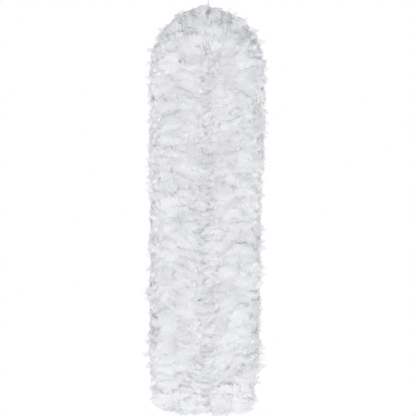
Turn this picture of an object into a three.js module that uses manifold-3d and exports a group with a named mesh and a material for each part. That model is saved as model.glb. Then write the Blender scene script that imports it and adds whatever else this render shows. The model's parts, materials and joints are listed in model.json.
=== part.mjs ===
// A chandelle feather boa, doubled over and hung by its fold from a thread loop.
// Millimetres, +Z up, origin at the inside top of the loop. The two legs hang down at -X and +X.
import * as THREE from 'three';
import { mergeVertices } from 'three/addons/utils/BufferGeometryUtils.js';
import Module from 'manifold-3d';

const wasm = await Module();
wasm.setup();

// Driving sizes
const ruffRadius = 74; // reach of one ruff of feathers from the core cord
const ruffPitch = 50; // length of core cord that one ruff covers
const ruffGap = 4; // left open between two ruffs at the cord
const rimThickness = 2; // a ruff is thick at its quills and thin at its tips
const ruffsPerSection = 4; // ruffs between two places where a leg bends
const sectionsPerLeg = 4;
const foldRadius = 66; // core cord's radius over the fold, half the legs' spacing
const cordRadius = 2.5;
const threadRadius = 0.5; // stitching thread wound round the core
const threadTurn = 100; // length of core per turn of the thread
const loopThreadRadius = 0.6;
const hangDrop = 95; // from the loop's inside top down to the core cord
const knotRadius = 6.5;
const knotHeight = 11;
const tuftDrop = 57; // how far an end tuft reaches past the last ruff
const tuftRadius = 64;

// Fits
const seat = 0.3; // clearance of every piece on the one that carries it
const legClearance = 1; // from the plane between the legs to either leg's feathers
const foldBoreSpare = 0.2; // wider bore over the fold, where both rounds have flat sides
const roundSteps = 20; // sides of a ruff
const cordSides = 10;
const knotSides = 12;

// What follows from them
const foldCentreZ = -hangDrop - foldRadius;
const sectionLength = ruffsPerSection * ruffPitch;
const legLength = sectionsPerLeg * sectionLength;
const foldRuffs = Math.max(2, 2 * Math.round(Math.PI * foldRadius / ruffPitch / 2));
const foldStep = Math.PI / foldRuffs;
const threadOrbit = (cordRadius + seat + threadRadius) / Math.cos(Math.PI / cordSides);
const boreRadius = (threadOrbit + threadRadius + seat) / Math.cos(Math.PI / roundSteps);
const loopInner = threadOrbit + threadRadius + seat;
const threadStandOff = cordRadius + 1.5; // from a section's end to its thread's end
const knotTop = -legLength - ruffGap / 2 - 1.5;
const cordEnd = knotTop - knotHeight - 3;

const looks = {
  feather: { color: 0xf1f1f4, roughness: 0.9, metalness: 0 },
  cord: { color: 0xe9e6df, roughness: 0.85, metalness: 0 },
  thread: { color: 0xf4f3ef, roughness: 0.6, metalness: 0 },
  loop: { color: 0xd9dade, roughness: 0.45, metalness: 0 },
};

const boa = new THREE.Group();

function addPiece(parent, name, geometry, look, position = [0, 0, 0]) {
  const mesh = new THREE.Mesh(geometry, new THREE.MeshStandardMaterial(looks[look]));
  mesh.name = name;
  mesh.position.set(...position);
  parent.add(mesh);
}

function toSolid(geometry) {
  const bare = geometry.clone();
  bare.deleteAttribute('normal');
  bare.deleteAttribute('uv');
  const closed = mergeVertices(bare, 1e-4);
  return new wasm.Manifold(new wasm.Mesh({
    numProp: 3,
    vertProperties: new Float32Array(closed.attributes.position.array),
    triVerts: new Uint32Array(closed.index.array),
  }));
}

function toGeometry(solid) {
  const mesh = solid.getMesh();
  const geometry = new THREE.BufferGeometry();
  geometry.setAttribute('position', new THREE.BufferAttribute(mesh.vertProperties, 3));
  geometry.setIndex(new THREE.BufferAttribute(mesh.triVerts, 1));
  geometry.computeVertexNormals();
  return geometry;
}

// A turned solid about Z, from its outline as [radius, height] pairs, lowest first
function turned(outline, sides) {
  const points = outline.map(([radius, height]) => new THREE.Vector2(radius, height));
  return new THREE.LatheGeometry(points, sides).rotateX(Math.PI / 2);
}

// Half of the circle that rounds off a cord's end, as [radius, height] pairs
function endRound(height, up) {
  const steps = 3;
  const points = [];
  for (let i = 0; i <= steps; i += 1) {
    const angle = i / steps * Math.PI / 2;
    const radius = i === steps ? 0 : cordRadius * Math.cos(angle);
    points.push([radius, height + up * cordRadius * Math.sin(angle)]);
  }
  return up > 0 ? points : points.reverse();
}

// One ruff: widest across its tips, thickest at the cord, with no bore yet
function ruffBlank() {
  const half = (ruffPitch - ruffGap) / 2;
  const rim = rimThickness / 2;
  const outline = [[0, -half], [ruffRadius, -rim], [ruffRadius, rim], [0, half]];
  return toSolid(turned(outline, roundSteps));
}

function bore(radius, length) {
  return toSolid(new THREE.CylinderGeometry(radius, radius, length, roundSteps).rotateX(Math.PI / 2));
}

// Keeps a leg's feathers on its own side of the plane between the legs; the leg is the origin
function ownSide(solid, side) {
  const width = foldRadius + 2 * ruffRadius;
  const box = new THREE.BoxGeometry(width, 4 * ruffRadius, 8 * ruffPitch);
  box.translate(side * (width / 2 - foldRadius + legClearance), 0, 0);
  return solid.intersect(toSolid(box));
}

// The space between two planes through the fold's axis that one ruff may fill
function foldWedge(angle) {
  const shift = ruffGap / 2 / Math.sin(foldStep / 2);
  const near = shift + 8;
  const far = foldRadius + 2 * ruffRadius;
  const slope = Math.tan(foldStep / 2);
  const shape = new THREE.Shape([
    new THREE.Vector2(near, -(near - shift) * slope),
    new THREE.Vector2(far, -(far - shift) * slope),
    new THREE.Vector2(far, (far - shift) * slope),
    new THREE.Vector2(near, (near - shift) * slope),
  ]);
  const prism = new THREE.ExtrudeGeometry(shape, { depth: 4 * ruffRadius, bevelEnabled: false });
  return toSolid(prism.translate(0, 0, -2 * ruffRadius).rotateX(Math.PI / 2).rotateY(-angle));
}

function foldRuff(angle, boreSolid) {
  const blank = toGeometry(ruffBlank());
  blank.translate(foldRadius, 0, 0).rotateY(-angle);
  return toGeometry(toSolid(blank).intersect(foldWedge(angle)).subtract(boreSolid));
}

// A round bar along a curve
function bar(curve, radius, sides, steps) {
  const points = [];
  for (let i = 0; i < sides; i += 1) {
    const angle = i / sides * 2 * Math.PI;
    points.push(new THREE.Vector2(radius * Math.cos(angle), radius * Math.sin(angle)));
  }
  const settings = { steps, extrudePath: curve, bevelEnabled: false };
  return new THREE.ExtrudeGeometry(new THREE.Shape(points), settings);
}

// The core's line over the fold, from the +X leg to the -X leg, about the fold's centre
class FoldLine extends THREE.Curve {
  getPoint(t) {
    const angle = t * Math.PI;
    return new THREE.Vector3(foldRadius * Math.cos(angle), 0, foldRadius * Math.sin(angle));
  }
}

// Thread wound round a straight section that hangs down from its own origin
class LegWinding extends THREE.Curve {
  getPoint(t) {
    const along = threadStandOff + t * (sectionLength - 2 * threadStandOff);
    const turn = along / threadTurn * 2 * Math.PI;
    return new THREE.Vector3(threadOrbit * Math.cos(turn), threadOrbit * Math.sin(turn), -along);
  }
}

// Thread wound round the fold, under the core where the loop carries it
class FoldWinding extends THREE.Curve {
  getPoint(t) {
    const length = Math.PI * foldRadius;
    const along = threadStandOff + t * (length - 2 * threadStandOff);
    const angle = along / foldRadius;
    const turn = Math.PI + (along - length / 2) / threadTurn * 2 * Math.PI;
    const reach = foldRadius + threadOrbit * Math.cos(turn);
    return new THREE.Vector3(
      reach * Math.cos(angle), threadOrbit * Math.sin(turn), reach * Math.sin(angle));
  }
}

function windingSteps(length) {
  const stepsPerTurn = 10;
  return Math.ceil(length / threadTurn * stepsPerTurn);
}

function foldCord() {
  let solid = toSolid(bar(new FoldLine(), cordRadius, cordSides, 16));
  const trim = new THREE.BoxGeometry(4 * foldRadius, 8 * cordRadius, 2 * foldRadius);
  trim.translate(0, 0, foldRadius + cordRadius + seat / 2);
  solid = solid.intersect(toSolid(trim));
  const end = [...endRound(0, -1), [cordRadius, 1], [0, 1]];
  for (const side of [-1, 1]) {
    const tip = turned(end, cordSides);
    tip.translate(side * foldRadius, 0, cordRadius + seat / 2);
    solid = solid.add(toSolid(tip));
  }
  return toGeometry(solid);
}

// A long closed loop of thread, its inside top at the origin
function hangingLoop() {
  const radius = loopInner + loopThreadRadius;
  const straight = hangDrop - loopInner;
  const ring = new THREE.TorusGeometry(radius, loopThreadRadius, 8, 20);
  ring.rotateY(Math.PI / 2);
  const position = ring.attributes.position;
  for (let i = 0; i < position.count; i += 1) {
    if (position.getZ(i) > 1e-3) {
      position.setZ(i, position.getZ(i) + straight);
    }
  }
  return ring.translate(0, 0, -hangDrop);
}

// Over the fold
const fold = new THREE.Group();
fold.position.set(0, 0, foldCentreZ);
boa.add(fold);
addPiece(boa, 'hanging_loop', hangingLoop(), 'loop');
addPiece(fold, 'fold_cord', foldCord(), 'cord');
const foldThreadLength = Math.PI * foldRadius - 2 * threadStandOff;
const foldExtraSteps = 4; // the fold itself bends, so its winding needs more steps
addPiece(
  fold, 'fold_thread',
  bar(new FoldWinding(), threadRadius, 8, windingSteps(foldThreadLength) + foldExtraSteps), 'thread');
const foldBore = toSolid(
  new THREE.TorusGeometry(foldRadius, boreRadius + foldBoreSpare, 12, 48).rotateX(Math.PI / 2));
for (let i = 0; i < foldRuffs; i += 1) {
  const angle = Math.PI - (i + 0.5) * foldStep;
  addPiece(fold, `fold_ruff_${i + 1}`, foldRuff(angle, foldBore), 'feather');
}

// The two legs, built alike
const sectionThread = bar(
  new LegWinding(), threadRadius, 8, windingSteps(sectionLength - 2 * threadStandOff));

function sectionCord(last) {
  const top = -cordRadius - seat / 2;
  const bottom = last ? cordEnd + (sectionsPerLeg - 1) * sectionLength + cordRadius
    : -sectionLength + cordRadius + seat / 2;
  return turned([...endRound(bottom, -1), ...endRound(top, 1)], cordSides);
}

function endKnot() {
  const inner = (cordRadius + seat) / Math.cos(Math.PI / knotSides);
  const half = knotHeight / 2;
  const outline = [
    [inner, -half], [knotRadius - 2, -half], [knotRadius, -half + 3],
    [knotRadius, half - 3], [knotRadius - 2, half], [inner, half], [inner, -half],
  ];
  return turned(outline, knotSides);
}

// The tuft that closes off an end, its top at the origin
function endTuft(side) {
  const inner = (knotRadius + seat) / Math.cos(Math.PI / roundSteps);
  const outline = [
    [0, -tuftDrop], [0.4 * tuftRadius, -tuftDrop], [tuftRadius, -0.35 * tuftDrop],
    [tuftRadius, -0.28 * tuftDrop], [0, 0],
  ];
  const solid = toSolid(turned(outline, roundSteps)).subtract(bore(inner, 4 * tuftDrop));
  return toGeometry(ownSide(solid, side));
}

for (const [legName, side] of [['left', -1], ['right', 1]]) {
  const leg = new THREE.Group();
  leg.position.set(side * foldRadius, 0, foldCentreZ);
  boa.add(leg);
  const ruff = toGeometry(ownSide(ruffBlank().subtract(bore(boreRadius, 2 * ruffPitch)), side));
  for (let section = 0; section < sectionsPerLeg; section += 1) {
    const top = -section * sectionLength;
    const last = section === sectionsPerLeg - 1;
    addPiece(leg, `${legName}_cord_${section + 1}`, sectionCord(last), 'cord', [0, 0, top]);
    addPiece(leg, `${legName}_thread_${section + 1}`, sectionThread, 'thread', [0, 0, top]);
    for (let i = 0; i < ruffsPerSection; i += 1) {
      const number = section * ruffsPerSection + i + 1;
      const name = `${legName}_ruff_${String(number).padStart(2, '0')}`;
      addPiece(leg, name, ruff, 'feather', [0, 0, top - (i + 0.5) * ruffPitch]);
    }
  }
  const tuftTop = -legLength - ruffGap / 2;
  addPiece(leg, `${legName}_end_knot`, endKnot(), 'cord', [0, 0, knotTop - knotHeight / 2]);
  addPiece(leg, `${legName}_end_tuft`, endTuft(side), 'feather', [0, 0, tuftTop]);
}

export default boa;
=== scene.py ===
import json
import math
import random

import bpy
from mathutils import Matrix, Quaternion, Vector


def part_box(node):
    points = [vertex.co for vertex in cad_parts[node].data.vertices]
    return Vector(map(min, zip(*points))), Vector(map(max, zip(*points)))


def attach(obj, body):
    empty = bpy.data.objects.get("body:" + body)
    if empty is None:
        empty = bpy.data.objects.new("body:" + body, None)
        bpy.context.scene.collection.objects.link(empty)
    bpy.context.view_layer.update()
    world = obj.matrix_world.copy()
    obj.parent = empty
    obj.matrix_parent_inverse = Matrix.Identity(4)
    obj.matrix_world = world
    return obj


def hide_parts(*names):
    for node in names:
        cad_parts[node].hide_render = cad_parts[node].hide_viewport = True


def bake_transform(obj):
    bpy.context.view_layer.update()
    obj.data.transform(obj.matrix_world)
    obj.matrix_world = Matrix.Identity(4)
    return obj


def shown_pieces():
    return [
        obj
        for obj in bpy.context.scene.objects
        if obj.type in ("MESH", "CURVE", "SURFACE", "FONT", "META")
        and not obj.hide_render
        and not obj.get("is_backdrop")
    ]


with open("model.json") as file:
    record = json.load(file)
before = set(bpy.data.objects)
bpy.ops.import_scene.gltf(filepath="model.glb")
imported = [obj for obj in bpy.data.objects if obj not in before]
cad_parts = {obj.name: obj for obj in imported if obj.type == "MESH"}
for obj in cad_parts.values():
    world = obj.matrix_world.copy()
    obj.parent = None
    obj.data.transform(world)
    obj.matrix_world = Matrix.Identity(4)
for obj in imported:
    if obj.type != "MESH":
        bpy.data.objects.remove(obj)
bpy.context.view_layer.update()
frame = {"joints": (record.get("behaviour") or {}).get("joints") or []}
scene = bpy.context.scene
print("packed frame loaded")

# where the core runs, read from the joints and the cords of the frame
joints = {joint["name"]: joint for joint in frame["joints"]}
foldRadius = joints["right_swing_1"]["pos_m"][0]
foldCentreZ = joints["right_swing_1"]["pos_m"][2]
sectionLength = foldCentreZ - joints["right_spread_1"]["pos_m"][2]
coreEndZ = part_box("right_cord_4")[0].z
quarterFold = math.pi * foldRadius / 2
legLength = foldCentreZ - coreEndZ
sectionCount = 4
ruffsPerSection = 4


def corePoint(along):
    # along is measured from the top of the fold, to the right leg if positive
    side = 1 if along >= 0 else -1
    if abs(along) <= quarterFold:
        angle = along / foldRadius
        return Vector((foldRadius * math.sin(angle), 0, foldCentreZ + foldRadius * math.cos(angle)))
    return Vector((side * foldRadius, 0, foldCentreZ - (abs(along) - quarterFold)))


def coreLine(start, end, step):
    count = max(2, math.ceil(abs(end - start) / step) + 1)
    return [corePoint(start + (end - start) * i / (count - 1)) for i in range(count)]


# camera, level with the middle of the boa
cameraSettings = {
    "distance": 5.0,
    "sensor": 36.0,
    "frameHeight": 1.0305,  # metres of the boa's own plane that the frame takes in
    "target": (0.0050, 0, -0.5145),
    "roll": -0.6,  # degrees
    "clip": (0.1, 60),
}


def makeCamera(settings):
    data = bpy.data.cameras.new("camera")
    data.sensor_width = settings["sensor"]
    data.lens = settings["sensor"] * settings["distance"] / settings["frameHeight"]
    data.clip_start, data.clip_end = settings["clip"]
    camera = bpy.data.objects.new("camera", data)
    scene.collection.objects.link(camera)
    target = Vector(settings["target"])
    camera.location = target + Vector((0, -settings["distance"], 0))
    camera.rotation_euler = (math.pi / 2, math.radians(settings["roll"]), 0)
    scene.camera = camera


makeCamera(cameraSettings)
print("camera placed")


def hexToLinear(text):
    # sRGB as it is written in a colour picker, to the linear values that nodes take
    channels = [int(text[i:i + 2], 16) / 255 for i in (1, 3, 5)]
    linear = [c / 12.92 if c <= 0.04045 else ((c + 0.055) / 1.055) ** 2.4 for c in channels]
    return (*linear, 1.0)


def addNode(tree, kind, inputs=None, **options):
    # an input is a plain value, a socket, or a node whose first output is meant
    node = tree.nodes.new(kind)
    for name, value in options.items():
        setattr(node, name, value)
    for key, value in (inputs or {}).items():
        if isinstance(value, bpy.types.Node):
            value = value.outputs[0]
        if isinstance(value, bpy.types.NodeSocket):
            tree.links.new(value, node.inputs[key])
        else:
            node.inputs[key].default_value = value
    return node


def newMaterial(name):
    material = bpy.data.materials.new(name)
    material.use_nodes = True
    material.node_tree.nodes.clear()
    return material, material.node_tree


# Turkey chandelle feather, bleached white: matt barbs that let light through, so shade stays pale
featherLook = {
    "tip": "#FDFDFD",
    "base": "#FBFBFB",
    "shadeTint": "#F8F8F9",
    "streakTint": "#F7F7F8",
    "streakAmount": 0.45,
    "through": 0.68,  # share of the light that passes on into the vane
    "roughness": 0.75,
    "ior": 1.54,  # keratin
    "specular": 0.25,
    "barbSpacing": 0.0024,  # metres; real barbs lie 0.4 mm apart, drawn coarser so that they show
    "vaneLength": 0.08,  # metres of feather that one length of its map stands for
    "barbSlant": -0.45,
    "toneSize": 0.045,  # metres across a soft patch of tone
    "patchRange": (0.4, 0.65),
    "barbRange": (0.35, 0.65),
}


def makeFeatherMaterial(look):
    material, tree = newMaterial("bleachedTurkeyFeather")
    featherUv = addNode(tree, "ShaderNodeUVMap", uv_map="featherUv")
    split = addNode(tree, "ShaderNodeSeparateXYZ", {0: featherUv})
    alongMix = addNode(
        tree, "ShaderNodeMix", data_type="RGBA",
        inputs={0: split.outputs["Y"], 6: hexToLinear(look["base"]), 7: hexToLinear(look["tip"])})
    place = addNode(tree, "ShaderNodeTexCoord")
    patches = addNode(
        tree, "ShaderNodeTexNoise",
        {"Vector": place.outputs["Object"], "Scale": 1 / look["toneSize"], "Detail": 1.0})
    patchAmount = addNode(
        tree, "ShaderNodeMapRange",
        {"Value": patches, "From Min": look["patchRange"][0], "From Max": look["patchRange"][1],
         "To Min": 0.0, "To Max": 1.0})
    toned = addNode(
        tree, "ShaderNodeMix", data_type="RGBA",
        inputs={0: patchAmount, 6: alongMix.outputs[2], 7: hexToLinear(look["shadeTint"])})
    # barbs leave the shaft on a slant, so a streak moves along as it goes out to the edge
    fromShaft = addNode(
        tree, "ShaderNodeMath", {0: split.outputs["X"], 1: 0.5}, operation="SUBTRACT")
    outwards = addNode(tree, "ShaderNodeMath", {0: fromShaft}, operation="ABSOLUTE")
    barbPlace = addNode(
        tree, "ShaderNodeMath", {0: outwards, 1: look["barbSlant"], 2: split.outputs["Y"]},
        operation="MULTIPLY_ADD")
    barbLine = addNode(tree, "ShaderNodeCombineXYZ", {"X": barbPlace})
    barbsAlong = look["vaneLength"] / look["barbSpacing"]
    barbs = addNode(
        tree, "ShaderNodeTexNoise",
        {"Vector": barbLine, "Scale": barbsAlong / 2, "Detail": 1.0})
    barbAmount = addNode(
        tree, "ShaderNodeMapRange",
        {"Value": barbs, "From Min": look["barbRange"][0], "From Max": look["barbRange"][1],
         "To Min": 0.0, "To Max": look["streakAmount"]})
    tinted = addNode(
        tree, "ShaderNodeMix", data_type="RGBA",
        inputs={0: barbAmount, 6: toned.outputs[2], 7: hexToLinear(look["streakTint"])})
    surface = addNode(
        tree, "ShaderNodeBsdfPrincipled",
        {"Base Color": tinted.outputs[2], "Roughness": look["roughness"], "IOR": look["ior"],
         "Specular IOR Level": look["specular"]})
    through = addNode(tree, "ShaderNodeBsdfTranslucent", {"Color": tinted.outputs[2]})
    mix = addNode(tree, "ShaderNodeMixShader", {0: look["through"], 1: surface, 2: through})
    addNode(tree, "ShaderNodeOutputMaterial", {0: mix})
    return material


# Unbleached two-ply cotton cord: dull, warm white, with a fuzzy surface
cottonLook = {
    "high": "#F0ECE2",
    "low": "#D8D2C4",
    "roughness": 0.9,
    "fibre": 0.0006,  # metres between tufts of fibre
    "bumpStrength": 0.4,
    "bumpHeight": 0.0003,
}


def makeCottonMaterial(look):
    material, tree = newMaterial("twistedCotton")
    place = addNode(tree, "ShaderNodeTexCoord")
    fibres = addNode(
        tree, "ShaderNodeTexNoise",
        {"Vector": place.outputs["Object"], "Scale": 1 / look["fibre"] / 3, "Detail": 3.0})
    colour = addNode(
        tree, "ShaderNodeMix", data_type="RGBA",
        inputs={0: fibres, 6: hexToLinear(look["low"]), 7: hexToLinear(look["high"])})
    bump = addNode(
        tree, "ShaderNodeBump",
        {"Strength": look["bumpStrength"], "Distance": look["bumpHeight"], "Height": fibres})
    surface = addNode(
        tree, "ShaderNodeBsdfPrincipled",
        {"Base Color": colour.outputs[2], "Roughness": look["roughness"], "Normal": bump})
    addNode(tree, "ShaderNodeOutputMaterial", {0: surface})
    return material


# Spun polyester thread: smoother than cotton, with a slight sheen along its twist
threadLook = {"high": "#F3F2EE", "low": "#DEDDD8", "roughness": 0.5, "sheen": 0.2, "fibre": 0.0004}
# Loop thread of the same kind, white, but coloured grey as painted shade so that it shows as a thin
# dark line against white
paintedShadeLoopLook = {"high": "#9A9CA3", "low": "#7C7E86", "roughness": 0.4, "sheen": 0.2, "fibre": 0.0004}


def makeThreadMaterial(name, look):
    material, tree = newMaterial(name)
    place = addNode(tree, "ShaderNodeTexCoord")
    fibres = addNode(
        tree, "ShaderNodeTexNoise",
        {"Vector": place.outputs["Object"], "Scale": 1 / look["fibre"] / 3, "Detail": 2.0})
    colour = addNode(
        tree, "ShaderNodeMix", data_type="RGBA",
        inputs={0: fibres, 6: hexToLinear(look["low"]), 7: hexToLinear(look["high"])})
    surface = addNode(
        tree, "ShaderNodeBsdfPrincipled",
        {"Base Color": colour.outputs[2], "Roughness": look["roughness"],
         "Sheen Weight": look["sheen"]})
    addNode(tree, "ShaderNodeOutputMaterial", {0: surface})
    return material


featherMaterial = makeFeatherMaterial(featherLook)
cottonMaterial = makeCottonMaterial(cottonLook)
threadMaterial = makeThreadMaterial("spunPolyesterThread", threadLook)
# the loop's grey colour is painted shade on a white thread
paintedShadeLoopMaterial = makeThreadMaterial("whiteLoopThreadPaintedShade", paintedShadeLoopLook)
print("materials made")

# feathers one metre long from the quill, in several bends; the tree scales them down
plumeShape = {
    "lobes": 11,  # clumps of barbs on each side of the shaft
    "vaneStart": 0.3,  # bare or downy shaft below this share of the length
    "vaneEnd": 0.94,
    "halfWidth": 0.115,
    "wedge": 0,  # 1 keeps the vane broad up to a short point, 0 rounds it off
    "lobeLength": 0.2,
    "lobeBase": 0.085,
    "lobeSpread": (0.75, 1.15),  # least and greatest share of a lobe's length and width
    "lobeFall": (0.3, 1.2),  # how far the lobe's tip sinks, as a share of a third of its width
    "tipShorter": 0.45,  # lobes near the tip are shorter by this share
    "shaftHalf": 0.003,
    "shaftEnd": 0.97,
    "stations": 5,
}
pointedShape = {
    **plumeShape, "halfWidth": 0.07, "lobeLength": 0.24, "lobeBase": 0.12, "lobes": 10, "wedge": 1}
petalShape = {**plumeShape, "halfWidth": 0.15, "lobeLength": 0.13, "lobeBase": 0.14, "lobes": 9}
# bend of the shaft to one side, further wrap of its tip round the core, sweep along the core
# and twist of the vane, in degrees; the first three of each kind stay nearly straight
plumeBends = [
    (14, 0, 5, 8), (34, 6, -8, -8), (52, 10, 8, 10), (80, 30, -6, -12), (88, 40, 8, 8),
    (95, 30, -8, -10), (84, 45, 12, 4), (100, 20, -12, 12),
]
petalBends = [
    (10, 0, 6, 10), (24, 8, -12, -20), (40, 10, 14, 30), (75, 40, -16, -25), (95, 60, 16, 20),
    (110, 70, -10, -30), (90, 80, 20, 10), (125, 60, -20, 25),
]
straightCount = 3
shapeCount = len(plumeBends)
bendStart, bendLength, wrapStart = 0.3, 0.45, 0.6  # shares of the shaft's length


def shaftFrames(bend, wrap, sweep, twist, steps):
    # places and directions along a shaft that runs out straight and curls over near its tip
    place, frames = Vector((0, 0, 0)), []
    for i in range(steps + 1):
        share = i / steps
        rise = min(1.0, max(0.0, (share - bendStart) / bendLength))
        wrapped = max(0.0, share - wrapStart) / (1 - wrapStart)
        angle = bend * rise * rise * (3 - 2 * rise) + wrap * wrapped
        turn = Quaternion((0, 1, 0), math.radians(sweep) * share)
        turn = turn @ Quaternion((1, 0, 0), -math.radians(angle))
        turn = turn @ Quaternion((0, 0, 1), math.radians(twist) * share)
        frames.append((place.copy(), turn))
        place = place + turn @ Vector((0, 0, 1 / steps))
    return frames


def lobeSwell(along, wedge):
    # width of the vane at a share of its length
    rounded = math.sin(math.pi * (0.2 + 0.75 * along)) ** 0.7
    pointed = min(1.0, (1.1 - along) / 0.35)
    return rounded + wedge * (pointed - rounded)


def makeFeather(name, bends, shape, seed):
    rng = random.Random(seed)
    fine = 60
    frames = shaftFrames(*bends, fine)
    vertices, faces, places = [], [], []

    def add(share, across, lift):
        spot, turn = frames[min(fine, max(0, round(share * fine)))]
        beyond = max(0.0, share - 1)
        vertices.append(spot + turn @ Vector((across, lift, beyond)))
        places.append((0.5 + across / shape["halfWidth"] / 3, min(1.0, share)))
        return len(vertices) - 1

    previous = None
    for i in range(shape["stations"] + 1):
        share = i / shape["stations"] * shape["shaftEnd"]
        half = shape["shaftHalf"] * (1 - 0.6 * share)
        pair = (add(share, -half, 0), add(share, half, 0))
        if previous:
            faces.append((previous[0], previous[1], pair[1], pair[0]))
        previous = pair
    start, lobes, vaneLift = shape["vaneStart"], shape["lobes"], 0.001
    for side in (-1, 1):
        for i in range(lobes):
            along = max(0.0, (i + rng.uniform(-0.3, 0.3)) / lobes)
            share = start + (shape["vaneEnd"] - start) * along
            reach = shape["halfWidth"] * lobeSwell(along, shape["wedge"])
            reach *= rng.uniform(*shape["lobeSpread"])
            long = shape["lobeLength"] * rng.uniform(*shape["lobeSpread"])
            long *= 1 - shape["tipShorter"] * along
            fall = 0.3 * reach * rng.uniform(*shape["lobeFall"])
            a = add(share, 0, vaneLift)
            b = add(min(1.0, share + shape["lobeBase"]), 0, vaneLift)
            c = add(share + 0.45 * long, side * reach * 0.7, fall * 0.4)
            d = add(share + long, side * reach, fall)
            faces += [(a, c, b), (c, d, b)] if side > 0 else [(a, b, c), (c, b, d)]
    farthest = max(vertex.length for vertex in vertices)
    vertices = [vertex / farthest for vertex in vertices]
    mesh = bpy.data.meshes.new(name)
    mesh.from_pydata(vertices, [], faces)
    layer = mesh.uv_layers.new(name="featherUv")
    for loop in mesh.loops:
        layer.data[loop.index].uv = places[loop.vertex_index]
    mesh.update()
    return bpy.data.objects.new(name, mesh)


def makeFeatherSet(name, bendSets, curledShape, seed):
    feathers = bpy.data.collections.new(name)
    for number, bends in enumerate(bendSets):
        shape = pointedShape if number < straightCount else curledShape
        feathers.objects.link(makeFeather(f"{name}_{number}", bends, shape, seed + number))
    return feathers


plumes = makeFeatherSet("plume", plumeBends, plumeShape, 40)
petals = makeFeatherSet("petal", petalBends, petalShape, 60)


# Geometry Nodes: feathers bound round a stretch of the core
ruffSettings = {
    "Feathers per Metre": 14000.0,
    "Reach": 0.08,  # metres from the core, as are the next and the two limits
    "Inner Reach": 0.084,
    "Inner Share": 0.08,  # of the feathers, those that face in between the legs
    "Shortest": 0.84,  # shares of the reach
    "Longest": 1.0,
    "Proud Share": 0.045,  # of the feathers, those that stand out past the rest
    "Proud Length": 0.22,
    "Depth": 0.08,
    "Widest": 0.0918,
    "Clump Height": 0.32,
    "Clump Scale": 55.0,
    "Lump Height": 0.3,
    "Lump Scale": 9.0,
    "Top Height": -0.085,  # front feathers are shorter above this height
    "Top Share": 0.88,
    "Lower Share": 0.93,
    "Spread Along": 0.3,
    "Droop": 0.12,
    "End Top": -0.88,  # the closed end is made between these heights
    "End Bottom": -0.975,
    "End Lean": 1.0,
    "End Share": 0.75,
    "End Narrowing": 0.35,
    "Curl Fall": 0.15,
    "Curl Spread": 0.35,
}
# what the tree keeps fixed: metres, radians and shares of a unit direction
ruffRules = {
    "front": (0.0, -1.0, 0.0),
    "openTurn": 0.75 * math.pi,  # feathers on the open sides turn up to this far from straight out
    "innerTurn": 1.25 * math.pi,
    "cornerShare": -0.25,  # feathers that face in by more than this fill the corner of the legs
    "cornerSpare": 1.04,  # those come this much nearer to the front than the others
    "leastShare": 0.05,  # keeps a division by a share from running away
    "lumpOut": 0.07,  # lumps are read this far out from the core
    "tipOut": 0.075,  # and the height of a tip this far out
    "narrowTop": -0.3,  # the boa narrows a little between these heights
    "narrowBottom": -0.6,
    "ledge": 0.012,  # depth over which the shorter feathers of the top fade in
    "downShare": 0.6,  # feathers of the end above this lean point down and stay straight
    "endStart": 0.4,  # and only past this share of the way into the end
    "sideShare": 0.5,  # proud feathers stay straight where they face out by more than this
    "leastProud": 0.25,  # share of the proud length that is left on the front
    "lowCorner": 0.3,  # slant that the lowest feathers count as when the corner is cut
    "lowPower": 4.0,
    "cutStart": 0.1,
    "cutEnd": 0.5,
    "limitStart": 0.3,  # the depth limit gives way to the width limit between these shares
    "limitEnd": 0.8,
    "seedStep": 17.0,
    "seedCount": 13,
}
mathNode, vectorNode, chanceNode = "ShaderNodeMath", "ShaderNodeVectorMath", "FunctionNodeRandomValue"
rangeNode, switchNode = "ShaderNodeMapRange", "GeometryNodeSwitch"


def addRuffSockets(tree, settings):
    kinds = {
        "Core Line": "Geometry", "Feathers": "Collection", **dict.fromkeys(settings, "Float"),
        "Material": "Material", "Seed": "Int",
    }
    for name, kind in kinds.items():
        socket = tree.interface.new_socket(
            name=name, in_out="INPUT", socket_type="NodeSocket" + kind)
        if name in settings:
            socket.default_value = settings[name]
    tree.interface.new_socket(name="Ruffs", in_out="OUTPUT", socket_type="NodeSocketGeometry")


def addQuills(tree, given, seeds, rules):
    # quills along the core, each with a random direction round it
    spacing = addNode(tree, mathNode, {0: 1.0, 1: given["Feathers per Metre"]}, operation="DIVIDE")
    points = addNode(
        tree, "GeometryNodeCurveToPoints", {"Curve": given["Core Line"], "Length": spacing},
        mode="LENGTH")
    tangent = points.outputs["Tangent"]
    across = addNode(
        tree, vectorNode, {0: rules["front"], 1: tangent}, operation="CROSS_PRODUCT")
    outward = addNode(tree, vectorNode, {0: across}, operation="NORMALIZE")
    openTurn = addNode(
        tree, chanceNode, {2: -rules["openTurn"], 3: rules["openTurn"], "Seed": seeds[0]},
        data_type="FLOAT")
    innerTurn = addNode(
        tree, chanceNode, {2: rules["openTurn"], 3: rules["innerTurn"], "Seed": seeds[1]},
        data_type="FLOAT")
    picked = addNode(tree, chanceNode, {2: 0.0, 3: 1.0, "Seed": seeds[2]}, data_type="FLOAT")
    facesIn = addNode(
        tree, mathNode, {0: picked.outputs[1], 1: given["Inner Share"]}, operation="LESS_THAN")
    around = addNode(
        tree, switchNode, {0: facesIn, 1: openTurn.outputs[1], 2: innerTurn.outputs[1]},
        input_type="FLOAT")
    radial = addNode(
        tree, "ShaderNodeVectorRotate", {"Vector": outward, "Axis": tangent, "Angle": around},
        rotation_type="AXIS_ANGLE")
    sideways = addNode(tree, vectorNode, {0: tangent, 1: radial}, operation="CROSS_PRODUCT")
    place = addNode(tree, "GeometryNodeInputPosition")
    return {
        "points": points, "spacing": spacing, "tangent": tangent, "outward": outward,
        "radial": radial, "sideways": sideways, "place": place,
        "height": addNode(tree, "ShaderNodeSeparateXYZ", {0: place}).outputs["Z"],
    }


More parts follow.
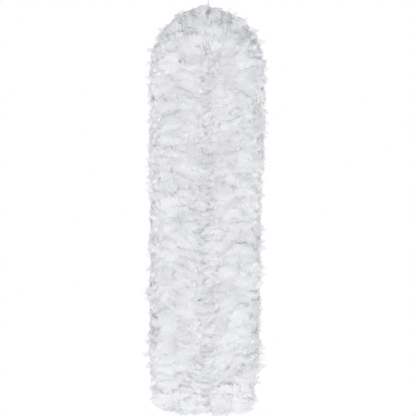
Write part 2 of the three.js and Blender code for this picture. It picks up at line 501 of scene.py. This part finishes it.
def addFacing(tree, quill, rules):
    # how far a feather faces out of the pair of legs, and how far to the front or the back
    outShare = addNode(
        tree, vectorNode, {0: quill["radial"], 1: quill["outward"]},
        operation="DOT_PRODUCT").outputs["Value"]
    frontShare = addNode(
        tree, vectorNode, {0: quill["radial"], 1: rules["front"]},
        operation="DOT_PRODUCT").outputs["Value"]
    outSize = addNode(tree, mathNode, {0: outShare}, operation="ABSOLUTE")
    frontSize = addNode(tree, mathNode, {0: frontShare}, operation="ABSOLUTE")
    least = rules["leastShare"]
    return {
        "outShare": outShare, "outSize": outSize, "frontShare": frontShare, "frontSize": frontSize,
        "outSafe": addNode(tree, mathNode, {0: outSize, 1: least}, operation="MAXIMUM"),
        "frontSafe": addNode(tree, mathNode, {0: frontSize, 1: least}, operation="MAXIMUM"),
        "isInner": addNode(tree, mathNode, {0: outShare, 1: 0.0}, operation="LESS_THAN"),
        "inCorner": addNode(
            tree, mathNode, {0: outShare, 1: rules["cornerShare"]}, operation="LESS_THAN"),
    }


def addEnding(tree, given, seeds, quill, rules):
    # how near a quill is to the closed end, and whether its feather points down from there
    ending = addNode(
        tree, rangeNode,
        {"Value": quill["height"], "From Min": given["End Top"], "From Max": given["End Bottom"]},
        interpolation_type="SMOOTHSTEP")
    leanDown = addNode(tree, chanceNode, {2: 0.0, 3: 1.0, "Seed": seeds[12]}, data_type="FLOAT")
    pointsDown = addNode(
        tree, mathNode, {0: leanDown.outputs[1], 1: rules["downShare"]}, operation="GREATER_THAN")
    isEnding = addNode(
        tree, mathNode, {0: ending, 1: rules["endStart"]}, operation="GREATER_THAN")
    straight = addNode(tree, mathNode, {0: isEnding, 1: pointsDown}, operation="MULTIPLY")
    return {"share": ending, "leanDown": leanDown.outputs[1], "straight": straight}


def addAim(tree, given, seeds, quill, ending):
    # which way the feather points: out, a little along the core, and down near the end
    leanAlong = addNode(tree, chanceNode, {2: -1.0, 3: 1.0, "Seed": seeds[5]}, data_type="FLOAT")
    leanAngle = addNode(
        tree, mathNode, {0: leanAlong.outputs[1], 1: given["Spread Along"]}, operation="MULTIPLY")
    leaning = addNode(
        tree, "ShaderNodeVectorRotate",
        {"Vector": quill["radial"], "Axis": quill["sideways"], "Angle": leanAngle},
        rotation_type="AXIS_ANGLE")
    endLean = addNode(
        tree, mathNode, {0: ending["leanDown"], 1: given["End Lean"]}, operation="MULTIPLY")
    fall = addNode(
        tree, mathNode, {0: endLean, 1: ending["share"], 2: given["Droop"]},
        operation="MULTIPLY_ADD")
    sine = addNode(tree, mathNode, {0: fall}, operation="SINE")
    cosine = addNode(tree, mathNode, {0: fall}, operation="COSINE")
    downward = addNode(tree, mathNode, {0: sine, 1: -1.0}, operation="MULTIPLY")
    fallVector = addNode(tree, "ShaderNodeCombineXYZ", {"Z": downward})
    level = addNode(tree, vectorNode, {0: leaning, "Scale": cosine}, operation="SCALE")
    aimed = addNode(tree, vectorNode, {0: level, 1: fallVector}, operation="ADD")
    return {
        "direction": addNode(tree, vectorNode, {0: aimed}, operation="NORMALIZE"),
        "sine": sine, "cosine": cosine,
    }


def addOwnLength(tree, given, seeds, facing, ending, rules):
    # the feather's own length as a share of the reach, and whether it stands proud
    anyLength = addNode(
        tree, chanceNode, {2: given["Shortest"], 3: given["Longest"], "Seed": seeds[3]},
        data_type="FLOAT")
    picked = addNode(tree, chanceNode, {2: 0.0, 3: 1.0, "Seed": seeds[4]}, data_type="FLOAT")
    isProud = addNode(
        tree, mathNode, {0: picked.outputs[1], 1: given["Proud Share"]}, operation="LESS_THAN")
    extra = addNode(
        tree, chanceNode, {2: 0.0, 3: given["Proud Length"], "Seed": seeds[11]}, data_type="FLOAT")
    least = rules["leastProud"]
    sideAmount = addNode(
        tree, mathNode, {0: facing["outSize"], 1: 1 - least, 2: least}, operation="MULTIPLY_ADD")
    amount = addNode(
        tree, mathNode, {0: sideAmount, 1: ending["straight"]}, operation="MAXIMUM")
    proudLength = addNode(
        tree, mathNode, {0: extra.outputs[1], 1: amount, 2: 1.0}, operation="MULTIPLY_ADD")
    ownLength = addNode(
        tree, switchNode, {0: isProud, 1: anyLength.outputs[1], 2: proudLength},
        input_type="FLOAT")
    return ownLength, isProud


def addReach(tree, given, facing, rules):
    # the two legs press together, so the feathers between them fill the corner and no more
    nearest = addNode(
        tree, mathNode, {0: given["Reach"], 1: rules["cornerSpare"]}, operation="MULTIPLY")
    toFront = addNode(tree, mathNode, {0: nearest, 1: facing["frontSafe"]}, operation="DIVIDE")
    toMiddle = addNode(
        tree, mathNode, {0: given["Inner Reach"], 1: facing["outSafe"]}, operation="DIVIDE")
    corner = addNode(tree, mathNode, {0: toFront, 1: toMiddle}, operation="MINIMUM")
    return addNode(
        tree, switchNode, {0: facing["isInner"], 1: given["Reach"], 2: corner},
        input_type="FLOAT")


def addLumps(tree, given, quill, facing, rules):
    # loose lumps everywhere, smaller clumps along the sides, and a slight narrowing lower down
    out = (rules["lumpOut"],) * 3
    edge = addNode(
        tree, vectorNode, {0: quill["radial"], 1: out, 2: quill["place"]},
        operation="MULTIPLY_ADD")
    shares = []
    clumpAmount = addNode(
        tree, mathNode, {0: given["Clump Height"], 1: facing["outSize"]}, operation="MULTIPLY")
    for scale, detail, amount in (
            ("Lump Scale", 1.0, given["Lump Height"]), ("Clump Scale", 0.0, clumpAmount)):
        noise = addNode(
            tree, "ShaderNodeTexNoise", {"Vector": edge, "Scale": given[scale], "Detail": detail})
        centred = addNode(tree, mathNode, {0: noise, 1: 0.5}, operation="SUBTRACT")
        shares.append(addNode(
            tree, mathNode, {0: centred, 1: amount, 2: 1.0}, operation="MULTIPLY_ADD"))
    shares.append(addNode(
        tree, rangeNode,
        {"Value": quill["height"], "From Min": rules["narrowTop"],
         "From Max": rules["narrowBottom"], "To Min": 1.0, "To Max": given["Lower Share"]},
        interpolation_type="SMOOTHSTEP"))
    return shares


def addEndShares(tree, given, quill, facing, ending, aim, rules):
    # shorter feathers straight down from the end, round its corners and above the ledge on top
    straightDown = addNode(tree, mathNode, {0: aim["sine"], 1: aim["sine"]}, operation="MULTIPLY")
    endShare = addNode(
        tree, rangeNode, {"Value": straightDown, "To Min": 1.0, "To Max": given["End Share"]})
    outOnly = addNode(tree, mathNode, {0: facing["outShare"], 1: 0.0}, operation="MAXIMUM")
    slant = addNode(tree, mathNode, {0: aim["sine"], 1: aim["cosine"]}, operation="MULTIPLY")
    lowest = addNode(
        tree, mathNode, {0: ending["share"], 1: rules["lowPower"]}, operation="POWER")
    lowSlant = addNode(tree, mathNode, {0: lowest, 1: rules["lowCorner"]}, operation="MULTIPLY")
    slantShare = addNode(tree, mathNode, {0: slant, 1: lowSlant}, operation="MAXIMUM")
    cornerOut = addNode(tree, mathNode, {0: outOnly, 1: slantShare}, operation="MULTIPLY")
    narrowest = addNode(tree, mathNode, {0: 1.0, 1: given["End Narrowing"]}, operation="SUBTRACT")
    cornerCut = addNode(
        tree, rangeNode,
        {"Value": cornerOut, "From Min": rules["cutStart"], "From Max": rules["cutEnd"],
         "To Min": 1.0, "To Max": narrowest})
    out = (rules["tipOut"],) * 3
    tip = addNode(
        tree, vectorNode, {0: aim["direction"], 1: out, 2: quill["place"]},
        operation="MULTIPLY_ADD")
    tipHeight = addNode(tree, "ShaderNodeSeparateXYZ", {0: tip}).outputs["Z"]
    ledgeTop = addNode(
        tree, mathNode, {0: given["Top Height"], 1: rules["ledge"]}, operation="ADD")
    topShare = addNode(
        tree, rangeNode,
        {"Value": tipHeight, "From Min": given["Top Height"], "From Max": ledgeTop,
         "To Min": 1.0, "To Max": given["Top Share"]})
    frontFacing = addNode(tree, mathNode, {0: facing["frontSize"], 1: 2.0}, operation="POWER")
    topAmount = addNode(
        tree, rangeNode, {"Value": frontFacing, "To Min": 1.0, "To Max": topShare})
    return [endShare, cornerCut, topAmount]


def addLimits(tree, given, facing, rules):
    # no feather passes the depth in front and behind, or the width at the sides
    deepest = addNode(
        tree, mathNode, {0: given["Depth"], 1: facing["frontSafe"]}, operation="DIVIDE")
    outLimit = addNode(
        tree, rangeNode,
        {"Value": facing["outShare"], "From Min": rules["limitStart"],
         "From Max": rules["limitEnd"], "To Min": given["Depth"], "To Max": given["Widest"]})
    widest = addNode(
        tree, switchNode, {0: facing["isInner"], 1: outLimit, 2: 1.0}, input_type="FLOAT")
    return [deepest, widest]


def addCurl(tree, given, seeds, quill, facing, direction):
    # the tip curls to either side, level on the front, and towards the seam in the corner
    eitherSide = addNode(tree, chanceNode, {4: 0, 5: 1, "Seed": seeds[6]}, data_type="INT")
    freely = addNode(
        tree, mathNode, {0: eitherSide.outputs[2], 1: 2.0, 2: -1.0}, operation="MULTIPLY_ADD")
    toSeam = addNode(tree, mathNode, {0: facing["frontShare"]}, operation="SIGN")
    handed = addNode(
        tree, switchNode, {0: facing["inCorner"], 1: freely, 2: toSeam}, input_type="FLOAT")
    sideParts = addNode(tree, "ShaderNodeSeparateXYZ", {0: quill["sideways"]})
    levelSign = addNode(tree, mathNode, {0: sideParts}, operation="SIGN")
    levelSide = addNode(tree, "ShaderNodeCombineXYZ", {"X": levelSign})
    levelShare = addNode(tree, mathNode, {0: facing["frontSize"], 1: 1.5}, operation="POWER")
    levelled = addNode(
        tree, "ShaderNodeMix", data_type="VECTOR",
        inputs={0: levelShare, 4: quill["sideways"], 5: levelSide})
    curlSide = addNode(
        tree, vectorNode, {0: levelled.outputs[1], "Scale": handed}, operation="SCALE")
    curlTurn = addNode(tree, chanceNode, {2: -1.0, 3: 1.0, "Seed": seeds[7]}, data_type="FLOAT")
    curlFall = addNode(
        tree, mathNode, {0: curlTurn.outputs[1], 1: given["Curl Spread"], 2: given["Curl Fall"]},
        operation="MULTIPLY_ADD")
    downward = addNode(tree, mathNode, {0: curlFall, 1: -1.0}, operation="MULTIPLY")
    curlDown = addNode(tree, "ShaderNodeCombineXYZ", {"Z": downward})
    curl = addNode(tree, vectorNode, {0: curlSide, 1: curlDown}, operation="ADD")
    upright = addNode(tree, "FunctionNodeAlignRotationToVector", {"Vector": direction}, axis="Z")
    return addNode(
        tree, "FunctionNodeAlignRotationToVector", {"Rotation": upright, "Vector": curl},
        axis="Y", pivot_axis="Z")


def addShapeChoice(tree, seeds, facing, ending, isProud, rules):
    # the straightest shape points down from the end and stays out of the corner
    anyShape = addNode(
        tree, chanceNode, {4: 0, 5: shapeCount - 1, "Seed": seeds[9]}, data_type="INT")
    onlyCorner = addNode(
        tree, mathNode, {0: facing["inCorner"], 1: ending["straight"]}, operation="GREATER_THAN")
    first = addNode(tree, switchNode, {0: onlyCorner, 1: 0, 2: 1}, input_type="INT")
    last = addNode(
        tree, switchNode, {0: ending["straight"], 1: straightCount - 1, 2: 0}, input_type="INT")
    straightShape = addNode(
        tree, chanceNode, {4: first, 5: last, "Seed": seeds[10]}, data_type="INT")
    atSide = addNode(
        tree, mathNode, {0: facing["outSize"], 1: rules["sideShare"]}, operation="GREATER_THAN")
    sideProud = addNode(tree, mathNode, {0: isProud, 1: atSide}, operation="MULTIPLY")
    cornerToo = addNode(
        tree, mathNode, {0: sideProud, 1: facing["inCorner"]}, operation="MAXIMUM")
    straighter = addNode(
        tree, mathNode, {0: cornerToo, 1: ending["straight"]}, operation="MAXIMUM")
    return addNode(
        tree, switchNode, {0: straighter, 1: anyShape.outputs[2], 2: straightShape.outputs[2]},
        input_type="INT")


def makeRuffTree(settings, rules):
    tree = bpy.data.node_groups.new("featherRuffs", "GeometryNodeTree")
    addRuffSockets(tree, settings)
    given = addNode(tree, "NodeGroupInput").outputs
    seeds = [
        addNode(tree, mathNode, {0: given["Seed"], 1: rules["seedStep"] * i}, operation="ADD")
        for i in range(rules["seedCount"])
    ]
    quill = addQuills(tree, given, seeds, rules)
    facing = addFacing(tree, quill, rules)
    ending = addEnding(tree, given, seeds, quill, rules)
    aim = addAim(tree, given, seeds, quill, ending)
    ownLength, isProud = addOwnLength(tree, given, seeds, facing, ending, rules)
    length = addReach(tree, given, facing, rules)
    shares = [ownLength] + addLumps(tree, given, quill, facing, rules)
    shares += addEndShares(tree, given, quill, facing, ending, aim, rules)
    for share in shares:
        length = addNode(tree, mathNode, {0: length, 1: share}, operation="MULTIPLY")
    for limit in addLimits(tree, given, facing, rules):
        length = addNode(tree, mathNode, {0: length, 1: limit}, operation="MINIMUM")
    rotation = addCurl(tree, given, seeds, quill, facing, aim["direction"])
    whichShape = addShapeChoice(tree, seeds, facing, ending, isProud, rules)

    shift = addNode(tree, chanceNode, {2: -1.0, 3: 1.0, "Seed": seeds[8]}, data_type="FLOAT")
    shiftLength = addNode(
        tree, mathNode, {0: shift.outputs[1], 1: quill["spacing"]}, operation="MULTIPLY")
    offset = addNode(
        tree, vectorNode, {0: quill["tangent"], "Scale": shiftLength}, operation="SCALE")
    moved = addNode(
        tree, "GeometryNodeSetPosition",
        {"Geometry": quill["points"].outputs["Points"], "Offset": offset})
    shapes = addNode(
        tree, "GeometryNodeCollectionInfo",
        {"Collection": given["Feathers"], "Separate Children": True, "Reset Children": True})
    scale = addNode(tree, "ShaderNodeCombineXYZ", {"X": length, "Y": length, "Z": length})
    placed = addNode(
        tree, "GeometryNodeInstanceOnPoints",
        {"Points": moved, "Instance": shapes, "Pick Instance": True,
         "Instance Index": whichShape, "Rotation": rotation, "Scale": scale})
    real = addNode(tree, "GeometryNodeRealizeInstances", {0: placed})
    dressed = addNode(
        tree, "GeometryNodeSetMaterial", {"Geometry": real, "Material": given["Material"]})
    addNode(tree, "NodeGroupOutput", {0: dressed})
    return tree


ruffTree = makeRuffTree(ruffSettings, ruffRules)
inputIds = {
    item.name: item.identifier for item in ruffTree.interface.items_tree
    if item.item_type == "SOCKET" and item.in_out == "INPUT"
}


def makeCurve(name, points):
    curve = bpy.data.curves.new(name, "CURVE")
    curve.dimensions = "3D"
    spline = curve.splines.new("POLY")
    spline.points.add(len(points) - 1)
    for point, spot in zip(spline.points, points):
        point.co = (*spot, 1)
    line = bpy.data.objects.new(name, curve)
    scene.collection.objects.link(line)
    return line


def makeRuffs(name, points, settings, seed):
    line = makeCurve(name + "_line", points)
    modifier = line.modifiers.new("ruffs", "NODES")
    modifier.node_group = ruffTree
    values = {"Feathers": plumes, "Material": featherMaterial, "Seed": seed, **settings}
    for key, value in values.items():
        modifier[inputIds[key]] = value
    bpy.context.view_layer.update()
    evaluated = line.evaluated_get(bpy.context.evaluated_depsgraph_get())
    mesh = bpy.data.meshes.new_from_object(evaluated)
    mesh.name = name
    bpy.data.objects.remove(line)
    piece = bpy.data.objects.new(name, mesh)
    scene.collection.objects.link(piece)
    return piece


crownSettings = {
    **ruffSettings, "Feathers": petals, "Reach": 0.0775, "Droop": 0.0, "Curl Spread": 0.8,
    "Curl Fall": 0.1, "Proud Share": 0.05, "Proud Length": 0.25, "Clump Height": 0.65,
    "Clump Scale": 38.0, "Top Share": 0.82,
}
tailSettings = {
    **ruffSettings, "Inner Share": 0.25, "Inner Reach": 0.07, "End Share": 0.5,
    "Proud Share": 0.07, "Proud Length": 0.3, "Spread Along": 0.14,
}
tuftSettings = {
    **tailSettings, "Feathers per Metre": 140000.0, "End Lean": 1.5, "Spread Along": 0.05,
    "End Share": 0.45, "Shortest": 0.7, "Proud Share": 0.14, "Proud Length": 0.5,
    "Depth": 0.074, "Widest": 0.074,
}
endNarrowings = {"left": 0.6, "right": 0.42}  # how much of the end's outer corner is cut


# cords and threads as twisted strands that follow the core
endRound = 0.6  # how far a strand's end bulges, as a share of its radius


def strandMesh(centres, radius, sides, closed=False):
    # a round bar through the centres, with rounded ends unless it closes on itself
    vertices, faces = [], []
    count = len(centres)
    normal = None
    for i, centre in enumerate(centres):
        if closed:
            direction = (centres[(i + 1) % count] - centres[i - 1]).normalized()
        else:
            direction = (centres[min(i + 1, count - 1)] - centres[max(i - 1, 0)]).normalized()
        if normal is None:
            normal = direction.orthogonal().normalized()
        normal = (normal - direction * normal.dot(direction)).normalized()
        other = direction.cross(normal)
        for j in range(sides):
            angle = 2 * math.pi * j / sides
            vertices.append(centre + radius * (math.cos(angle) * normal + math.sin(angle) * other))
    rings = count if closed else count - 1
    for i in range(rings):
        here, there = i * sides, (i + 1) % count * sides
        for j in range(sides):
            k = (j + 1) % sides
            faces.append((here + j, here + k, there + k, there + j))
    if not closed:
        for ring, sign in ((0, -1), (count - 1, 1)):
            inward = centres[1] if ring == 0 else centres[-2]
            tip = centres[ring] + (centres[ring] - inward).normalized() * radius * endRound
            vertices.append(tip)
            last = len(vertices) - 1
            for j in range(sides):
                k = (j + 1) % sides
                a, b = ring * sides + j, ring * sides + k
                faces.append((a, b, last) if sign > 0 else (b, a, last))
    return vertices, faces


def joinStrands(name, strands, material):
    vertices, faces = [], []
    for more, rings in strands:
        base = len(vertices)
        vertices += more
        faces += [tuple(base + i for i in face) for face in rings]
    mesh = bpy.data.meshes.new(name)
    mesh.from_pydata(vertices, [], faces)
    mesh.update()
    for face in mesh.polygons:
        face.use_smooth = True
    mesh.materials.append(material)
    piece = bpy.data.objects.new(name, mesh)
    scene.collection.objects.link(piece)
    return piece


def coreDirection(along):
    return (corePoint(along + 1e-4) - corePoint(along - 1e-4)).normalized()


def woundCentres(start, end, orbit, turnLength, phase, perTurn):
    steps = max(4, math.ceil(abs(end - start) / turnLength * perTurn))
    centres = []
    for i in range(steps + 1):
        along = start + (end - start) * i / steps
        outward = coreDirection(along).cross(Vector((0, 1, 0)))
        turn = phase + 2 * math.pi * along / turnLength
        offset = math.cos(turn) * outward + math.sin(turn) * Vector((0, 1, 0))
        centres.append(corePoint(along) + orbit * offset)
    return centres


coreSettings = {
    "diameter": 0.005, "plyRadius": 0.00132, "orbit": 0.00122, "turn": 0.016, "perTurn": 12,
    "sides": 8,
}
stitchSettings = {
    "radius": 0.0005, "orbit": 0.0033, "turn": 0.014, "phase": 0.7, "perTurn": 12, "sides": 6,
}


def makeCore(name, start, end, settings):
    plies = []
    for phase in (0, math.pi):
        centres = woundCentres(
            start, end, settings["orbit"], settings["turn"], phase, settings["perTurn"])
        plies.append(strandMesh(centres, settings["plyRadius"], settings["sides"]))
    return joinStrands(name, plies, cottonMaterial)


def makeStitching(name, start, end, settings):
    # wound the other way from the twist of the core
    centres = woundCentres(
        start, end, settings["orbit"], -settings["turn"], settings["phase"], settings["perTurn"])
    strand = strandMesh(centres, settings["radius"], settings["sides"])
    return joinStrands(name, [strand], threadMaterial)


# the boa, piece by piece along its core
lineStep = 0.004
halfSection = sectionLength / 2
crownHalf = quarterFold / 2
tuftLength = 0.014  # stretch of core that the end tuft is bound to
tuftStep = 0.003
knotGap = 0.001


def ruffNames(leg, first, last):
    return [f"{leg}_ruff_{i:02d}" for i in range(first, last + 1)]


def finishStretch(name, start, end, settings, seed, bodies, joint, stoodFor):
    # makes feathers, core and stitching of one stretch, and puts them on their body only where the
    # stretch holds no joint
    first, last = sorted((start, end))
    ruffs = makeRuffs(name + "_feathers", coreLine(first, last, lineStep), settings, seed)
    core = makeCore(name + "_core", start, end, coreSettings)
    stitching = makeStitching(name + "_stitching", start, end, stitchSettings)
    for piece in (ruffs, core, stitching):
        if joint is None:
            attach(piece, bodies[0])
        else:
            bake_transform(piece)
    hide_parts(*stoodFor["ruffs"])
    if stoodFor["cord"]:
        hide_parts(stoodFor["cord"])
        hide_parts(stoodFor["thread"])


finishStretch(
    "crown", -crownHalf, crownHalf, crownSettings, 5, ["fold"], None,
    {"ruffs": ["fold_ruff_2", "fold_ruff_3"], "cord": "fold_cord", "thread": "fold_thread"})
print("crown of the fold made")

for leg, side in (("left", -1), ("right", 1)):
    for section in range(1, sectionCount + 1):
        kind = "swing" if section % 2 else "spread"
        joint = joints[f"{leg}_{kind}_{(section + 1) // 2}"]
        below = f"{leg}_section_{section}"
        jointAlong = quarterFold + (section - 1) * sectionLength
        if section == 1:
            above, start = "fold", crownHalf
            stoodFor = [f"fold_ruff_{1 if side < 0 else 4}"] + ruffNames(leg, 1, 2)
        else:
            above, start = f"{leg}_section_{section - 1}", jointAlong - halfSection
            lastRuff = (section - 1) * ruffsPerSection
            stoodFor = ruffNames(leg, lastRuff - 1, lastRuff + 2)
        finishStretch(
            f"{leg}_{kind}_{(section + 1) // 2}", side * start,
            side * (jointAlong + halfSection), ruffSettings, 10 * section + side,
            [above, below], joint,
            {"ruffs": stoodFor, "cord": f"{leg}_cord_{section}", "thread": f"{leg}_thread_{section}"})
    lowest = sectionCount * ruffsPerSection
    tailStart = quarterFold + sectionCount * sectionLength - halfSection
    tuftEnd = quarterFold + legLength
    finishStretch(
        f"{leg}_tail", side * tailStart, side * (tuftEnd - knotGap),
        {**tailSettings, "End Narrowing": endNarrowings[leg]}, 90 + side,
        [f"{leg}_section_{sectionCount}"], None,
        {"ruffs": ruffNames(leg, lowest - 1, lowest), "cord": None, "thread": None})
    first, last = sorted((side * (tuftEnd - tuftLength), side * tuftEnd))
    tuft = makeRuffs(
        f"{leg}_tuft_feathers", coreLine(first, last, tuftStep),
        {**tuftSettings, "End Narrowing": endNarrowings[leg]}, 120 + side)
    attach(tuft, f"{leg}_section_{sectionCount}")
    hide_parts(f"{leg}_end_tuft")
    print(leg, "leg made")

# knot at each end, a trefoil of the same two-ply cord pulled tight
knotSettings = {
    "size": 0.0021, "strand": 0.00125, "sides": 8, "steps": 72, "squeeze": 0.72,
    "depth": 1.6,  # this and the gap between the plies are in sizes
    "plyGap": 0.55,
}


def makeKnot(leg, settings):
    low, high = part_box(f"{leg}_end_knot")
    middle = (low + high) / 2
    strands = []
    for shift in (-1, 1):
        centres = []
        for i in range(settings["steps"]):
            t = 2 * math.pi * i / settings["steps"]
            spot = Vector((
                math.sin(t) + 2 * math.sin(2 * t), math.cos(t) - 2 * math.cos(2 * t),
                -settings["depth"] * math.sin(3 * t)))
            winding = Vector((math.cos(9 * t), math.sin(9 * t), math.cos(6 * t)))
            twist = shift * settings["plyGap"] * winding
            centres.append(middle + (spot + twist) * settings["size"] * settings["squeeze"])
        strands.append(strandMesh(centres, settings["strand"], settings["sides"], closed=True))
    knot = joinStrands(f"{leg}_knot", strands, cottonMaterial)
    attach(knot, f"{leg}_section_{sectionCount}")
    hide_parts(f"{leg}_end_knot")


for leg in ("left", "right"):
    makeKnot(leg, knotSettings)
print("end knots made")

# thread loop that the boa hangs from
loopSettings = {
    "plyRadius": 0.00031, "orbit": 0.0003, "turn": 0.0026, "diameter": 0.0012, "step": 0.0006,
    "sides": 6,
}


def loopLine(settings):
    # up the front, over, down the back and round under the core
    low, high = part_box("hanging_loop")
    radius = settings["diameter"] / 2
    half = (high.y - low.y) / 2 - radius
    top, bottom = high.z - radius - half, low.z + radius + half
    straight, bend = top - bottom, math.pi * half
    total = 2 * straight + 2 * bend
    count = math.ceil(total / settings["step"])
    points = []
    for i in range(count + 1):
        run = total * i / count
        if run <= straight:
            points.append(Vector((0, -half, bottom + run)))
        elif run <= straight + bend:
            angle = (run - straight) / half
            points.append(Vector((0, -half * math.cos(angle), top + half * math.sin(angle))))
        elif run <= 2 * straight + bend:
            points.append(Vector((0, half, top - (run - straight - bend))))
        else:
            angle = (run - 2 * straight - bend) / half
            points.append(Vector((0, half * math.cos(angle), bottom - half * math.sin(angle))))
    return points, total


def makeLoop(settings):
    points, total = loopLine(settings)
    plies = []
    turns = round(total / settings["turn"])
    for phase in (0, math.pi):
        centres = []
        for i, point in enumerate(points[:-1]):
            following = points[i + 1]
            direction = (following - point).normalized()
            across = direction.cross(Vector((1, 0, 0)))
            turn = phase + 2 * math.pi * turns * i / (len(points) - 1)
            offset = math.cos(turn) * Vector((1, 0, 0)) + math.sin(turn) * across
            centres.append(point + settings["orbit"] * offset)
        plies.append(strandMesh(centres, settings["plyRadius"], settings["sides"], closed=True))
    loop = joinStrands("thread_loop", plies, paintedShadeLoopMaterial)
    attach(loop, "loop")
    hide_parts("hanging_loop")


makeLoop(loopSettings)
print("thread loop made")

# stage: pale floor well below, soft light from the front left and a low fill
stageSettings = {
    "floorZ": -2.3,
    "floorRadius": 3.2,
    "floorSides": 96,
    "floorColour": "#F6F6F7",
    "worldLight": 1.32,
    "worldAbove": "#AEB1B5",
    "worldBelow": "#FFFFFF",
    "worldRange": (-0.2, 0.9),  # heights on a unit ball between which the two colours mix
    "lamps": [  # watts, place and width of each soft box, and the height that it is aimed at
        ("softbox", 22.0, (-1.0, -3.2, -1.4), 2.4, -0.7),
        ("lowFill", 5.5, (0.4, -1.5, -1.5), 1.2, -0.9),
    ],
}


def makeFloor(settings):
    sides, radius = settings["floorSides"], settings["floorRadius"]
    turns = [2 * math.pi * i / sides for i in range(sides)]
    rim = [(radius * math.cos(turn), radius * math.sin(turn), settings["floorZ"]) for turn in turns]
    mesh = bpy.data.meshes.new("floor")
    mesh.from_pydata(rim, [], [tuple(range(sides))])
    material, tree = newMaterial("paleStudioFloor")
    surface = addNode(
        tree, "ShaderNodeBsdfPrincipled",
        {"Base Color": hexToLinear(settings["floorColour"]), "Roughness": 0.9})
    addNode(tree, "ShaderNodeOutputMaterial", {0: surface})
    mesh.materials.append(material)
    floor = bpy.data.objects.new("floor", mesh)
    scene.collection.objects.link(floor)
    floor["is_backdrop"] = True


def makeLights(settings):
    world = bpy.data.worlds.new("studio")
    scene.world = world
    world.use_nodes = True
    tree = world.node_tree
    tree.nodes.clear()
    ray = addNode(tree, "ShaderNodeLightPath")
    place = addNode(tree, "ShaderNodeTexCoord")
    split = addNode(tree, "ShaderNodeSeparateXYZ", {0: place.outputs["Generated"]})
    lowest, highest = settings["worldRange"]
    upward = addNode(
        tree, "ShaderNodeMapRange",
        {"Value": split.outputs["Z"], "From Min": lowest, "From Max": highest})
    sky = addNode(
        tree, "ShaderNodeMix", data_type="RGBA",
        inputs={0: upward, 6: hexToLinear(settings["worldBelow"]),
                7: hexToLinear(settings["worldAbove"])})
    lighting = addNode(
        tree, "ShaderNodeBackground", {0: sky.outputs[2], 1: settings["worldLight"]})
    # the paper behind the boa is plain white and gives no light of its own
    paper = addNode(tree, "ShaderNodeBackground", {0: (1, 1, 1, 1), 1: 1.0})
    mix = addNode(
        tree, "ShaderNodeMixShader", {0: ray.outputs["Is Camera Ray"], 1: lighting, 2: paper})
    addNode(tree, "ShaderNodeOutputWorld", {0: mix})
    for name, power, spot, size, aimHeight in settings["lamps"]:
        data = bpy.data.lights.new(name, "AREA")
        data.energy = power
        data.size = size
        lamp = bpy.data.objects.new(name, data)
        lamp.location = spot
        lamp.visible_camera = False
        aim = Vector((0, 0, aimHeight)) - Vector(spot)
        lamp.rotation_mode = "QUATERNION"
        lamp.rotation_quaternion = aim.to_track_quat("-Z", "Y")
        scene.collection.objects.link(lamp)


makeFloor(stageSettings)
makeLights(stageSettings)
scene.view_settings.view_transform = "Standard"
lightBounces = 24  # white feathers pass light on many times
scene.cycles.max_bounces = lightBounces
scene.cycles.diffuse_bounces = lightBounces
scene.cycles.transmission_bounces = lightBounces
print("stage lit")

faceCount = sum(len(piece.data.polygons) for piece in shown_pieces() if piece.type == "MESH")
print("faces in all:", faceCount)
